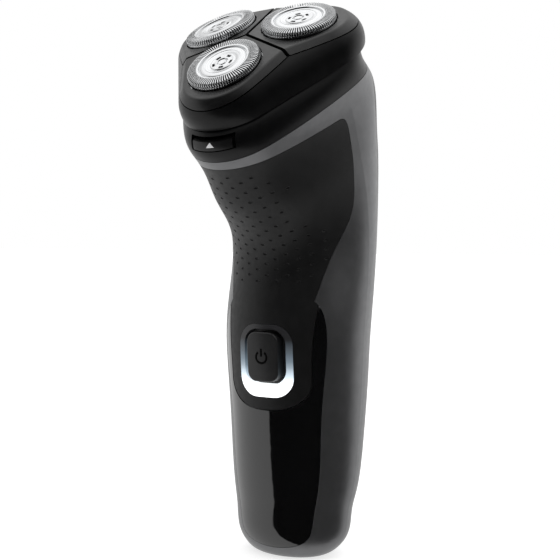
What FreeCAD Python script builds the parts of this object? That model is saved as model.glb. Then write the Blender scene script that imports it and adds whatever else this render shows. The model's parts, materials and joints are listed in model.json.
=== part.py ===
import FreeCAD, Part
import math
import os
from FreeCAD import Placement, Rotation, Vector

# Rotary electric shaver. The origin is the middle of the footprint at the foot of the handle,
# +Z runs up the handle and the power button faces -Y. All sizes are in millimetres.

# The shaving head leans forward. Its own frame has its origin between the three caps,
# +Z out of the shaving face and -Y towards the front.
HEAD_TILT = 36.0
HEAD_CENTRE = Vector(0.0, -14.65, 158.0)
HEAD = Placement(HEAD_CENTRE, Rotation(Vector(1, 0, 0), HEAD_TILT))

POSITIONS = {"front": -90.0, "right": 30.0, "left": 150.0}
CAP_PITCH = 15.8            # head centre to the middle of a cap
CAP_TILT = 7.0              # each cap leans outward
CAP_R = 11.0
CAP_WALL = 0.45
CAP_DEPTH = 4.0
CAP_FLANGE_R = 11.9
SLOT_COUNT = 72
SLOT_WIDTH = 0.3

LOBE_FACE = -2.1            # lobe face, below the cap's rim
LOBE_WALL = 1.4
LOBE_GAP = 1.1              # slit between two lobes
TROUGH_R = 48.0             # each lobe's lower edge is an arch of this radius
TROUGH_FLOOR = -6.4
LOBE_SEAM = 0.3
LOBE_EDGE_R = 1.3           # rounding of the lobe's outer rim
CAP_BORE_GAP = 0.4

UNIT_WALL = 1.5
CHAMBER_TOP = -13.1
CHAMBER_BOTTOM = -21.3
CHAMBER_WALL = 1.8
CHAMBER_FLOOR = 1.5
LATCH_Y = -29.4             # back of the unit's latch leg
HINGE_Y = 24.7
HINGE_Z = -12.9
HINGE_R = 1.7
HINGE_PIN_R = 0.8
HINGE_HALF = 4.0
HINGE_EAR = 2.6

HOUSING_TOP = -21.5
SKIN = 1.0                  # grip and panel thickness
WALL = 2.4                  # whole wall of the handle
SEAM = 0.15
TONGUE_SEAM = 0.4           # between the grip's tongue and the glossy panel

GEAR_MODULE = 0.75
PINION_TEETH = 8
GEAR_TEETH = 32
GEAR_PITCH = GEAR_MODULE * (PINION_TEETH + GEAR_TEETH) / 2.0
GEAR_ROOM_R = 13.2
GEAR_BOTTOM = -25.4
GEAR_TOP = -22.9
AXLE_R = 1.0
SPINDLE_TIP = -7.0
BOSS_R = 5.2
BOSS_BORE = 3.9
BOSS_TOP = -14.0
PLATE_TOP = -26.0
PLATE_BOTTOM = -28.0
MOTOR_R = 10.0
MOTOR_BOTTOM = -54.0
MOTOR_SCREW_PITCH = 7.0
MOTOR_SCREW_ANGLES = (0.0, 180.0)
MOTOR_SCREW_SEAT = PLATE_TOP - 0.8
PLATE_SCREW_PITCH = 17.5
PLATE_SCREW_ANGLES = (-30.0, 90.0, 210.0)

BUTTON_Z = 63.0
BUTTON_W = 10.6
BUTTON_H = 15.0
BUTTON_CORNER = 3.0
BUTTON_PROUD = 1.3
FLANGE_DEPTH = 2.2          # the button's flange closes the groove round it this far down
FLANGE_GAP = 0.15
OPENING_W = 14.4            # opening of the light ring
OPENING_H = 16.8
OPENING_CORNER = 4.7
RING_Z = 61.75
RING_W = 18.4
RING_H = 22.1
RING_CORNER = 6.2
RING_GAP = 0.08

INLET_Y = 10.0
INLET_W = 12.4
INLET_D = 7.8
WELL_W = 10.4
WELL_D = 5.8
WELL_TOP = 10.0
INLET_TOP = 12.0
PIN_R = 1.0
PIN_PITCH = 5.0
PIN_TIP = 4.6
PIN_SHOULDER = 9.0          # the pins are thicker from here up
PIN_ROOT_R = 1.25

BATTERY_Y = 22.6
BATTERY_R = 7.0
BATTERY_BOTTOM = 30.0
BATTERY_TOP = 78.4
FRAME_BACK = 8.6
FRAME_SCREWS = [(x, z) for x in (-9.5, 9.5) for z in (25.5, 89.5)]
SCREW_R = 0.8

# Handle sections from the top down. Each lies in the plane through its front and back points:
# front y, front z, back y, back z, half width, and how triangular it is (1) or elliptic (0).
STATIONS = [
    (-33.0, 128.5, 12.9, 162.3, 29.2, 1.0),
    (-31.5, 121.0, 19.0, 154.5, 29.4, 1.0),
    (-28.0, 118.5, 24.0, 152.0, 28.7, 1.0),
    (-19.2, 110.0, 30.5, 138.0, 27.2, 0.8),
    (-8.5, 100.0, 35.4, 120.0, 25.3, 0.55),
    (-3.6, 88.0, 37.0, 100.0, 24.2, 0.3),
    (-5.4, 74.0, 37.0, 82.0, 23.8, 0.1),
    (-5.5, 60.0, 36.3, 65.0, 23.0, 0.0),
    (-4.3, 46.0, 35.0, 48.0, 22.2, 0.0),
    (-3.3, 32.0, 32.7, 32.0, 21.4, 0.0),
    (-2.5, 20.0, 30.0, 20.0, 20.2, 0.0),
]
# The foot closes with a rounded edge from FOOT_TOP down to a flat face at z = 0.
FOOT_TOP = (-2.0, 27.3, 18.9, 11.0)         # front y, back y, half width, z
FOOT_FLAT = (4.0, 16.0, 9.5)                # front y, back y, half width
FOOT_ANGLES = (0, 22, 42, 58, 71, 81, 90)
SECTION_POINTS = 48
SECTION_STEPS = 720


# ---- small helpers ----------------------------------------------------------

def polar(radius, degrees, z=0.0):
    angle = math.radians(degrees)
    return Vector(radius * math.cos(angle), radius * math.sin(angle), z)


def placed(shape, placement):
    moved = shape.copy()
    moved.Placement = placement.multiply(moved.Placement)
    return moved


def turned_about_z(degrees):
    return Placement(Vector(), Rotation(Vector(0, 0, 1), degrees))


def box(x0, x1, y0, y1, z0, z1):
    return Part.makeBox(x1 - x0, y1 - y0, z1 - z0, Vector(x0, y0, z0))


def disc(radius, z0, z1, x=0.0, y=0.0):
    return Part.makeCylinder(radius, z1 - z0, Vector(x, y, z0))


def tube(outer, inner, z0, z1):
    return disc(outer, z0, z1).cut(disc(inner, z0 - 1, z1 + 1))


def turned(points):
    """A body of revolution about Z from (radius, z) points."""
    corners = [Vector(r, 0, z) for r, z in points]
    face = Part.Face(Part.makePolygon(corners + corners[:1]))
    return face.revolve(Vector(), Vector(0, 0, 1), 360)


def joined(shapes):
    return shapes[0].fuse(shapes[1:]).removeSplitter()


def only_solid(shape):
    """The largest solid of a shape that may hold stray slivers."""
    return max(shape.Solids, key=lambda solid: solid.Volume)


def coil(radius, wire, z0, z1, turns):
    """Coil spring about Z between two levels. Its wire has eight flats."""
    pitch = (z1 - z0 - 2 * wire) / turns
    path = Part.Wire(Part.makeHelix(pitch, pitch * turns, radius).Edges)
    angles = [math.radians(45.0 * k) for k in range(8)]
    ring = [Vector(radius + wire * math.cos(a), 0, wire * math.sin(a)) for a in angles]
    section = Part.makePolygon(ring + ring[:1])
    spring = path.makePipeShell([section], True, True)
    return placed(spring, Placement(Vector(0, 0, z0 + wire), Rotation()))


def cap_frame(azimuth):
    """Origin in the middle of a cap's rim, +X outward, +Z along the cap's axis."""
    lean = Placement(Vector(CAP_PITCH, 0, 0), Rotation(Vector(0, 1, 0), CAP_TILT))
    return HEAD.multiply(turned_about_z(azimuth)).multiply(lean)


def lobe_frame(azimuth):
    """Head frame turned so that +X points outward through the lobe."""
    return HEAD.multiply(turned_about_z(azimuth))


def gear_frame(azimuth):
    shift = Placement(Vector(GEAR_PITCH, 0, 0), Rotation())
    return HEAD.multiply(turned_about_z(azimuth)).multiply(shift)


# ---- outlines ---------------------------------------------------------------

def lobed_wire(z, corner_r, corner_pitch):
    """Three round corners at the cap positions, joined by straight flanks."""
    edges = []
    azimuths = sorted(POSITIONS.values())
    for index, azimuth in enumerate(azimuths):
        middle = polar(corner_pitch, azimuth, z)
        start, top, end = [middle + polar(corner_r, azimuth + turn) for turn in (-60, 0, 60)]
        following = azimuths[(index + 1) % 3]
        flank_end = polar(corner_pitch, following, z) + polar(corner_r, following - 60)
        edges.append(Part.Arc(start, top, end).toShape())
        edges.append(Part.makeLine(end, flank_end))
    return Part.Wire(edges)


def lobed_solid(levels):
    return Part.makeLoft([lobed_wire(*level) for level in levels], True, False)


def rounded_rectangle(width, height, corner, z):
    """Front-view rounded rectangle, drawn in the XZ plane at y = 0."""
    arcs = []
    for sx, sz, first in ((1, 1, 0), (-1, 1, 90), (-1, -1, 180), (1, -1, 270)):
        middle = Vector(sx * (width / 2.0 - corner), 0, z + sz * (height / 2.0 - corner))
        turns = [math.radians(first + turn) for turn in (0, 45, 90)]
        arcs.append([middle + Vector(corner * math.cos(a), 0, corner * math.sin(a)) for a in turns])
    edges = []
    for index, arc in enumerate(arcs):
        edges.append(Part.Arc(*arc).toShape())
        edges.append(Part.makeLine(arc[2], arcs[(index + 1) % 4][0]))
    return Part.Wire(edges)


def front_prism(wire, y0, y1):
    """Extrude a front-view outline from y0 to y1."""
    face = Part.Face(wire)
    face.translate(Vector(0, y0, 0))
    return face.extrude(Vector(0, y1 - y0, 0))


def side_prism(wire, half=60.0):
    face = Part.Face(wire)
    face.translate(Vector(-half, 0, 0))
    return face.extrude(Vector(2 * half, 0, 0))


def moved_outward(ring, gap):
    """A closed ring of flat points, each corner moved outward by gap."""
    count = len(ring)
    area = sum(ring[i - 1][0] * ring[i][1] - ring[i][0] * ring[i - 1][1] for i in range(count))
    outward = gap if area > 0 else -gap
    moved = []
    for i in range(count):
        normals = []
        for start, end in ((ring[i - 1], ring[i]), (ring[i], ring[(i + 1) % count])):
            length = math.dist(start, end)
            normals.append(((end[1] - start[1]) / length, (start[0] - end[0]) / length))
        (ax, ay), (bx, by) = normals
        reach = outward / (1.0 + ax * bx + ay * by)
        moved.append((ring[i][0] + reach * (ax + bx), ring[i][1] + reach * (ay + by)))
    return moved


def side_view(point):
    return Vector(0, point[0], point[1])


def front_view(point):
    return Vector(point[0], 0, point[1])


def outline(runs, gap, view):
    """Closed outline from runs of points: a run of two is a line and a longer one a smooth curve."""
    ring = moved_outward([point for run in runs for point in run[:-1]], gap)
    edges = []
    first = 0
    for run in runs:
        points = [view(ring[(first + k) % len(ring)]) for k in range(len(run))]
        first += len(run) - 1
        if len(run) == 2:
            edges.append(Part.makeLine(*points))
        else:
            curve = Part.BSplineCurve()
            curve.interpolate(points)
            edges.append(curve.toShape())
    return Part.Wire(edges)


def panel_outline(gap=0.0):
    """Side view of everything that is grip or glossy panel."""
    collar = [(-0.7, 133.4), (1.9, 133.0), (3.5, 130.9), (4.8, 127.8), (8.6, 116.5),
              (10.2, 109.5), (9.6, 103.8), (7.0, 97.4), (3.2, 88.0), (0.2, 79.8)]
    flank = [(0.2, 79.8), (1.3, 77.0), (1.8, 72.0), (1.8, 50.0), (2.3, 24.0),
             (1.9, 11.0), (0.6, 5.0), (-1.2, 3.2)]
    front_low = (-60.0, 3.2)
    front_high = (-60.0, 99.8)
    runs = [[front_high, collar[0]], collar, flank, [flank[-1], front_low], [front_low, front_high]]
    return outline(runs, gap, side_view)


def tongue_outline(gap=0.0):
    """Front view of the grip, which ends in a tongue below the button."""
    right = [(15.6, 79.8), (14.3, 68.0), (13.8, 56.5)]
    foot = [(13.8, 56.5), (12.0, 50.9), (7.2, 47.8), (0, 46.9), (-7.2, 47.8), (-12.0, 50.9), (-13.8, 56.5)]
    left = [(-x, z) for x, z in reversed(right)]
    corners = [(-15.6, 79.8), (-60, 79.8), (-60, 200), (60, 200), (60, 79.8), (15.6, 79.8)]
    lines = [[a, b] for a, b in zip(corners, corners[1:])]
    return outline([right, foot, left] + lines, gap, front_view)


def parting_outline(gap=0.0):
    """Side view of the rear cover: everything behind the parting line."""
    line = [(13.0, 152.0), (21.0, 125.0), (25.4, 98.0), (23.6, 76.0), (22.2, 52.0),
            (20.4, 30.0), (21.0, 11.0), (23.0, -4.0)]
    corners = [line[-1], (80, -4), (80, 200), (13, 200), line[0]]
    lines = [[a, b] for a, b in zip(corners, corners[1:])]
    return outline([line] + lines, gap, side_view)


# ---- handle body ------------------------------------------------------------

def support(angle, half_width, half_depth, triangular):
    """Distance from the section's middle to its tangent line at this angle."""
    c = math.cos(angle)
    s = math.sin(angle)
    round_part = math.hypot(half_width * c, half_depth * s)
    front_r = 0.42 * half_depth + 2.0
    rear_r = 0.45 * half_depth + 1.0
    power = 10.0
    front = max(-(half_depth - front_r) * s + front_r, 0.0)
    rear = 0.0
    for side in (1, -1):
        reach = max(side * (half_width - rear_r) * c + (half_depth - rear_r) * s + rear_r, 0.0)
        rear += (reach * 1.02) ** power / 2.0
    corner_part = (front ** power + rear) ** (1.0 / power)
    return (1.0 - triangular) * round_part + triangular * corner_part


def section_points(half_width, half_depth, triangular, inset):
    """Evenly spaced points round a section, starting at its back."""
    step = 2.0 * math.pi / SECTION_STEPS
    reach = [support(math.pi / 2 + i * step, half_width, half_depth, triangular) - inset
             for i in range(SECTION_STEPS)]
    outline = []
    for i in range(SECTION_STEPS):
        angle = math.pi / 2 + i * step
        slope = (reach[(i + 1) % SECTION_STEPS] - reach[i - 1]) / (2.0 * step)
        c = math.cos(angle)
        s = math.sin(angle)
        outline.append((reach[i] * c - slope * s, reach[i] * s + slope * c))
    outline.append(outline[0])
    travelled = [0.0]
    for start, end in zip(outline, outline[1:]):
        travelled.append(travelled[-1] + math.dist(start, end))
    points = []
    index = 0
    for k in range(SECTION_POINTS):
        target = travelled[-1] * k / SECTION_POINTS
        while travelled[index + 1] < target:
            index += 1
        share = (target - travelled[index]) / (travelled[index + 1] - travelled[index])
        start, end = outline[index], outline[index + 1]
        points.append((start[0] + share * (end[0] - start[0]), start[1] + share * (end[1] - start[1])))
    return points


def section_wire(station, inset):
    front_y, front_z, back_y, back_z, half_width, triangular = station
    half_depth = math.hypot(back_y - front_y, back_z - front_z) / 2.0
    middle = Vector(0, (front_y + back_y) / 2.0, (front_z + back_z) / 2.0)
    backward = Vector(0, back_y - front_y, back_z - front_z).normalize()
    points = [middle + Vector(u, 0, 0) + backward * v
              for u, v in section_points(half_width, half_depth, triangular, inset)]
    curve = Part.BSplineCurve()
    knots = [k / SECTION_POINTS for k in range(SECTION_POINTS + 1)]
    curve.interpolate(Points=points, Parameters=knots, PeriodicFlag=True)
    front_half = curve.copy()
    front_half.segment(0.25, 0.75)
    back_half = curve.copy()
    back_half.segment(0.75, 1.25)
    return Part.Wire([front_half.toShape(), back_half.toShape()])


def foot_stations(inset):
    front, back, half, top = FOOT_TOP
    flat_front, flat_back, flat_half = FOOT_FLAT
    stations = []
    for degrees in FOOT_ANGLES:
        share = math.cos(math.radians(degrees))
        z = top - (top - inset) * math.sin(math.radians(degrees))
        stations.append((flat_front + (front - flat_front) * share, z,
                         flat_back + (back - flat_back) * share, z,
                         flat_half + (half - flat_half) * share, 0.0))
    return stations


def body_solid(inset=0.0):
    """The handle's outer form, or a form this far inside it."""
    wires = [section_wire(station, inset) for station in STATIONS + foot_stations(inset)]
    return Part.makeLoft(wires, True, False)


def head_slab(z0, z1, half=220.0):
    """Everything between two levels of the head frame."""
    return placed(box(-half, half, -half, half, z0, z1), HEAD)


# ---- shaving unit -----------------------------------------------------------

# Levels of the unit's outer form: z, corner radius, corner pitch.
UNIT_LEVELS = [(-12.7, 15.7, 16.7), (-8.5, 15.1, 17.6), (-5.8, 14.2, 17.4), (-4.0, 13.0, 17.1),
               (-2.6, 11.8, 16.8), (-1.2, 10.4, 16.5), (0.2, 9.0, 16.2)]


def unit_form(inset=0.0):
    return lobed_solid([(z, corner_r - inset, pitch) for z, corner_r, pitch in UNIT_LEVELS])


def trough(grow=0.0):
    """Space of one lobe along its own +X: above an arch whose axis runs outward."""
    axis_z = TROUGH_FLOOR + TROUGH_R
    return Part.makeCylinder(TROUGH_R + grow, 60, Vector(-10, 0, axis_z), Vector(1, 0, 0))


def sector(gap):
    """A third of the head around +X, held back from its two edges by half a gap."""
    shift = gap / 2.0 / math.sin(math.radians(60))
    apex = Vector(shift, 0, -40)
    corners = [apex, apex + polar(120, -60), apex + polar(120, 60)]
    face = Part.Face(Part.makePolygon(corners + corners[:1]))
    return face.extrude(Vector(0, 0, 80))


def below_face(depth):
    """Everything under a plane parallel to the cap's rim, in the lobe's frame."""
    lean = Placement(Vector(CAP_PITCH, 0, 0), Rotation(Vector(0, 1, 0), CAP_TILT))
    return placed(box(-60, 60, -60, 60, -60, depth), lean)


def in_cap_place(shape):
    """From the cap's frame to the lobe's frame."""
    lean = Placement(Vector(CAP_PITCH, 0, 0), Rotation(Vector(0, 1, 0), CAP_TILT))
    return placed(shape, lean)


def make_lobe(outer, inner):
    """One lobe in its own frame: a hollow surround with a collar for its cap."""
    solid = outer.common(trough()).common(sector(LOBE_GAP)).common(below_face(LOBE_FACE))
    rim = [edge for edge in solid.Edges
           if abs(in_lobe_face(edge)) < 0.02 and edge.Length > 8.0 and edge.BoundBox.XMax > CAP_PITCH]
    if rim:
        solid = solid.makeFillet(LOBE_EDGE_R, rim)
    collar = in_cap_place(disc(13.2, -5.0, 5.0))
    cavity = inner.common(sector(LOBE_GAP + 2 * LOBE_WALL)).common(below_face(LOBE_FACE - LOBE_WALL))
    solid = solid.cut(cavity.cut(collar))
    bore = in_cap_place(disc(CAP_R + CAP_BORE_GAP, -20, 5))
    pocket = in_cap_place(disc(CAP_FLANGE_R + 0.25, -20, -CAP_DEPTH + 1.0))
    return only_solid(solid.cut(bore).cut(pocket))


def in_lobe_face(edge):
    """Height of an edge's middle over the lobe's face."""
    lean = Placement(Vector(CAP_PITCH, 0, 0), Rotation(Vector(0, 1, 0), CAP_TILT)).inverse()
    middle = edge.valueAt((edge.FirstParameter + edge.LastParameter) / 2.0)
    return lean.multVec(middle).z - LOBE_FACE


def make_unit_housing(outer, inner):
    ring = outer.cut(inner)
    spokes = [disc(5.0, -10.4, -8.8)]
    for azimuth in POSITIONS.values():
        spoke = box(0, 24, -1.2, 1.2, -10.4, -8.8)
        spokes.append(placed(spoke, turned_about_z(azimuth + 60)).common(outer))
    for azimuth in POSITIONS.values():
        ring = ring.cut(placed(trough(LOBE_SEAM).common(sector(0.0)), turned_about_z(azimuth)))
    barrel = along_hinge(HINGE_R, HINGE_HALF)
    web = box(-HINGE_HALF, HINGE_HALF, 22.6, HINGE_Y, HINGE_Z + 0.4, HINGE_Z + 3.4)
    hook = box(-3.0, 3.0, LATCH_Y - 0.8, LATCH_Y, -16.8, -11.5)
    housing = joined([ring.Solids[0]] + ring.Solids[1:] + spokes + [barrel, web, hook])
    ears = ear_pair(HINGE_R + 0.3, 0.3)
    housing = housing.cut(along_hinge(HINGE_PIN_R + 0.05, 30)).cut(ears).cut(disc(1.6, -20, 0))
    return only_solid(housing)


def along_hinge(radius, half_length):
    """Cylinder on the hinge axis, centred on the middle of the head."""
    return Part.makeCylinder(radius, 2 * half_length, Vector(-half_length, HINGE_Y, HINGE_Z), Vector(1, 0, 0))


def ear_pair(radius, grow=0.0):
    """The two hinge ears either side of the barrel."""
    start = HINGE_HALF + 0.3 - grow
    length = HINGE_EAR + 2 * grow
    ears = [Part.makeCylinder(radius, length, Vector(x, HINGE_Y, HINGE_Z), Vector(1, 0, 0))
            for x in (start, -start - length)]
    return Part.makeCompound(ears)


def make_cap():
    """Slotted steel cap: a thin cup with two raised tracks and a middle disc."""
    top = [(0, -0.35), (2.6, -0.35), (2.8, -0.15), (3.5, -0.15), (3.7, -0.55), (5.6, -0.55), (5.9, -0.1),
           (6.7, -0.1), (6.9, -0.35), (7.2, -0.35), (7.4, 0.0), (10.1, 0.0), (10.7, -0.2), (CAP_R, -0.75)]
    flange_z = -CAP_DEPTH + 0.6
    outside = top + [(CAP_R, flange_z), (CAP_FLANGE_R, flange_z), (CAP_FLANGE_R, -CAP_DEPTH)]
    inner_r = CAP_R - CAP_WALL
    inside = [(inner_r, -CAP_DEPTH), (inner_r, -1.0), (10.3, -CAP_WALL - 0.15), (6.2, -CAP_WALL - 0.15),
              (5.8, -1.0), (0, -1.0)]
    cap = turned(outside + inside)
    slots = []
    for index in range(SLOT_COUNT):
        angle = 360.0 * index / SLOT_COUNT
        slot = box(7.7, CAP_R + 0.5, -SLOT_WIDTH / 2, SLOT_WIDTH / 2, -1.5, 1.0)
        slots.append(placed(slot, turned_about_z(angle)))
    return only_solid(cap.cut(Part.makeCompound(slots)))


def make_cutter():
    """Ring of lifting blades on a plastic carrier with a coupling socket below."""
    carrier = turned([(2.2, -1.6), (9.2, -3.8), (9.2, -4.4), (4.2, -4.4), (4.2, -8.0), (2.6, -8.0), (2.6, -5.4),
                      (0, -5.4), (0, -1.6)])
    blades = []
    for index in range(15):
        blade = box(7.8, 9.8, -0.25, 0.25, -4.0, -0.75)
        blades.append(placed(blade, turned_about_z(24.0 * index)))
    return only_solid(joined([carrier] + blades))


def make_retaining_frame():
    frame = lobed_solid([(-11.9, 12.6, 16.6), (-10.7, 12.6, 16.6)])
    for azimuth in POSITIONS.values():
        frame = frame.cut(placed(disc(5.4, -20, 0, x=GEAR_PITCH), turned_about_z(azimuth)))
    return only_solid(frame.cut(disc(2.6, -20, 0)))


def make_lock_knob():
    """Turning lock in the middle of the retaining frame, with a grip bar below."""
    knob = turned([(0, -8.7), (1.5, -8.7), (1.5, -10.6), (2.5, -10.6), (2.5, -12.0), (5.2, -12.0),
                   (5.2, -12.8), (0, -12.8)])
    bar = box(-4.4, 4.4, -0.7, 0.7, -14.4, -12.8)
    return joined([knob, bar])


# ---- drive ------------------------------------------------------------------

def toothed_disc(teeth, z0, z1):
    """Gear blank with straight-flanked teeth; the first tooth lies on +X."""
    pitch_r = GEAR_MODULE * teeth / 2.0
    tip_r = pitch_r + 0.9 * GEAR_MODULE
    root_r = pitch_r - 1.2 * GEAR_MODULE
    step = 360.0 / teeth
    points = []
    for index in range(teeth):
        middle = index * step
        points.append(polar(root_r, middle - 0.27 * step, z0))
        points.append(polar(tip_r, middle - 0.10 * step, z0))
        points.append(polar(tip_r, middle + 0.10 * step, z0))
        points.append(polar(root_r, middle + 0.27 * step, z0))
    face = Part.Face(Part.makePolygon(points + points[:1]))
    return face.extrude(Vector(0, 0, z1 - z0))


def gear_phase(azimuth):
    """Turn that sets a gap of the gear on a tooth of the pinion."""
    share = PINION_TEETH / GEAR_TEETH
    return 180.0 - 180.0 / GEAR_TEETH + share * azimuth


def make_gear(azimuth):
    gear = placed(toothed_disc(GEAR_TEETH, GEAR_BOTTOM, GEAR_TOP), turned_about_z(gear_phase(azimuth)))
    hub = disc(2.2, GEAR_BOTTOM, -19.2)
    windows = []
    for index in range(4):
        windows.append(placed(disc(2.1, -40, 0, x=6.4), turned_about_z(90.0 * index + 45.0)))
    return gear.cut(Part.makeCompound(windows)).fuse(hub).cut(disc(AXLE_R + 0.06, -40, 0)).removeSplitter()


def make_spindle():
    """Telescopic drive spindle that ends in a three-sided tip."""
    sleeve = turned([(1.1, -18.6), (3.2, -18.6), (3.2, -17.8), (1.9, -17.2), (1.9, -9.4), (1.5, -9.0),
                     (1.5, SPINDLE_TIP - 0.3), (1.2, SPINDLE_TIP), (0, SPINDLE_TIP), (0, -14.6), (1.1, -14.6)])
    flats = [placed(box(1.15, 3.0, -3, 3, -9.3, 0), turned_about_z(120.0 * index)) for index in range(3)]
    return sleeve.cut(Part.makeCompound(flats))


def make_motor_can():
    can = turned([(AXLE_R + 0.3, PLATE_BOTTOM + 1.3), (3.0, PLATE_BOTTOM + 1.3), (3.0, PLATE_BOTTOM - 0.05),
                  (MOTOR_R - 0.8, PLATE_BOTTOM - 0.05), (MOTOR_R, PLATE_BOTTOM - 0.9), (MOTOR_R, MOTOR_BOTTOM),
                  (MOTOR_R - 1.0, MOTOR_BOTTOM), (MOTOR_R - 1.0, PLATE_BOTTOM - 1.4),
                  (AXLE_R + 0.3, PLATE_BOTTOM - 1.4)])
    bores = [placed(disc(SCREW_R + 0.05, -32, -25, x=MOTOR_SCREW_PITCH), turned_about_z(angle))
             for angle in MOTOR_SCREW_ANGLES]
    return can.cut(Part.makeCompound(bores))


def make_motor_end_cap():
    cap = turned([(0, MOTOR_BOTTOM - 2.0), (4.0, MOTOR_BOTTOM - 2.0), (4.0, MOTOR_BOTTOM - 0.9),
                  (MOTOR_R - 0.2, MOTOR_BOTTOM - 0.9), (MOTOR_R - 0.2, MOTOR_BOTTOM - 0.05),
                  (MOTOR_R - 1.15, MOTOR_BOTTOM - 0.05), (MOTOR_R - 1.15, MOTOR_BOTTOM + 1.5),
                  (1.3, MOTOR_BOTTOM + 1.5), (1.3, MOTOR_BOTTOM - 0.6), (0, MOTOR_BOTTOM - 0.6)])
    tabs = [box(x, x + 0.4, -7.5, -5.0, MOTOR_BOTTOM - 3.4, MOTOR_BOTTOM - 0.5) for x in (-4.2, 3.8)]
    return joined([cap] + tabs)


def make_rotor():
    """Motor shaft with the wound armature on it."""
    shaft = disc(AXLE_R, MOTOR_BOTTOM - 0.4, -21.9)
    poles = [placed(box(1.5, 7.6, -1.2, 1.2, -50.0, -34.0), turned_about_z(120.0 * k)) for k in range(3)]
    shoes = tube(8.2, 7.2, -50.0, -34.0)
    slits = [placed(box(6.0, 9.0, -0.9, 0.9, -60.0, -30.0), turned_about_z(120.0 * k + 60.0)) for k in range(3)]
    commutator = disc(2.4, -52.0, -50.0)
    core = disc(2.4, -50.0, -34.0)
    return joined([shaft, core, commutator, shoes.cut(Part.makeCompound(slits))] + poles)


def make_gear_plate(inner_form):
    plate = inner_form.common(head_slab(PLATE_BOTTOM, PLATE_TOP))
    holes = [placed(disc(3.1, -60, 0), HEAD)]
    holes += [placed(disc(AXLE_R, -60, 0), gear_frame(azimuth)) for azimuth in POSITIONS.values()]
    for angle in MOTOR_SCREW_ANGLES:
        holes.append(placed(disc(SCREW_R + 0.05, -60, 0, x=MOTOR_SCREW_PITCH), lobe_frame(angle)))
        holes.append(placed(disc(1.9, MOTOR_SCREW_SEAT, 0, x=MOTOR_SCREW_PITCH), lobe_frame(angle)))
    holes += [placed(disc(0.95, -60, 0, x=PLATE_SCREW_PITCH), lobe_frame(angle)) for angle in PLATE_SCREW_ANGLES]
    return only_solid(plate.cut(Part.makeCompound(holes)))


def make_screw(head_r, head_h, shank_r, length):
    """Pan-head screw whose head stands on z = 0 and whose shank points to -Z."""
    screw = turned([(0, head_h), (head_r - 0.3, head_h), (head_r, head_h - 0.4), (head_r, 0), (shank_r, 0),
                    (shank_r, -length + 0.6), (shank_r - 0.4, -length), (0, -length)])
    cross = box(-head_r * 0.6, head_r * 0.6, -0.25, 0.25, head_h - 0.6, head_h + 1)
    return screw.cut(cross).cut(placed(cross, turned_about_z(90)))


# ---- handle pieces ----------------------------------------------------------

def make_hair_chamber(outer, wall_inner):
    """Open cup under the shaving unit, with a tube round each drive spindle."""
    shell = outer.common(head_slab(CHAMBER_BOTTOM, CHAMBER_TOP))
    shell = shell.cut(wall_inner.common(head_slab(CHAMBER_BOTTOM + CHAMBER_FLOOR, 0)))
    for azimuth in POSITIONS.values():
        shell = shell.fuse(placed(disc(BOSS_R, CHAMBER_BOTTOM, BOSS_TOP), gear_frame(azimuth)))
    for azimuth in POSITIONS.values():
        shell = shell.cut(placed(disc(BOSS_BORE, -30, 0), gear_frame(azimuth)))
    window = box(-7.3, 7.3, -50, -25, -17.6, -13.9)
    ears = ear_pair(HINGE_R)
    feet = [box(-2.0, 2.0, LATCH_Y + 4.8, LATCH_Y + 5.8, CHAMBER_BOTTOM + 1, -13.6)]
    for side in (1, -1):
        x = side * (HINGE_HALF + 0.3 + HINGE_EAR / 2)
        feet.append(box(x - HINGE_EAR / 2, x + HINGE_EAR / 2, 22.4, HINGE_Y + 1.0, HINGE_Z - 3.2, HINGE_Z - 0.6))
    shell = shell.cut(placed(window, HEAD))
    shell = joined([shell] + [placed(piece, HEAD) for piece in ears.Solids + feet])
    shell = shell.cut(placed(along_hinge(HINGE_R + 0.3, HINGE_HALF + 0.3), HEAD))
    return only_solid(shell.cut(placed(along_hinge(HINGE_PIN_R, 30), HEAD)))


def make_release_button(outer, back_form):
    """Curved face with two arms that carry a catch bar behind the unit's latch leg."""
    face = outer.cut(back_form).common(placed(box(-6.5, 6.5, -50, -25, -17.25, -14.95), HEAD))
    bar_y = LATCH_Y + 0.2
    pieces = [box(-5.0, 5.0, bar_y, bar_y + 1.2, -16.0, -15.0)]
    pieces += [box(x - 0.7, x + 0.7, LATCH_Y - 3.0, bar_y + 0.6, -16.0, -15.0) for x in (-4.3, 4.3)]
    return only_solid(joined([only_solid(face)] + [placed(piece, HEAD) for piece in pieces]))


def make_main_housing(forms, regions):
    shell = forms["outer"].common(head_slab(-400, HOUSING_TOP)).cut(forms["wall"])
    shell = shell.cut(regions["rear_room"])
    shell = shell.cut(regions["panels"].cut(forms["skin"]))
    shell = shell.cut(regions["ring"])
    pocket = disc(GEAR_ROOM_R, GEAR_BOTTOM - 0.4, GEAR_TOP + 0.4)
    shell = shell.cut(Part.makeCompound([placed(pocket, gear_frame(a)) for a in POSITIONS.values()]))
    return only_solid(shell.cut(inlet_block(0.05, -1, 5)))


def make_rear_cover(forms, regions):
    shell = forms["outer"].common(head_slab(-400, HOUSING_TOP)).cut(forms["wall"])
    return only_solid(shell.common(regions["rear"]))


def make_grip(forms, regions):
    layer = forms["outer"].common(head_slab(-400, HOUSING_TOP)).cut(forms["skin"])
    grip = layer.common(regions["panel_fit"]).common(regions["tongue"])
    return only_solid(grip.cut(regions["ring"]))


def make_front_panel(forms, regions):
    layer = forms["outer"].common(head_slab(-400, HOUSING_TOP)).cut(forms["skin"])
    return only_solid(layer.common(regions["panel_fit"]).cut(regions["tongue_room"]))


def make_light_ring(forms):
    outline = rounded_rectangle(RING_W, RING_H, RING_CORNER, RING_Z)
    opening = rounded_rectangle(OPENING_W, OPENING_H, OPENING_CORNER, BUTTON_Z)
    ring = front_prism(outline, -30, 10).cut(front_prism(opening, -40, 20))
    return only_solid(forms["outer"].cut(forms["button_back"]).common(ring))


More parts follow.
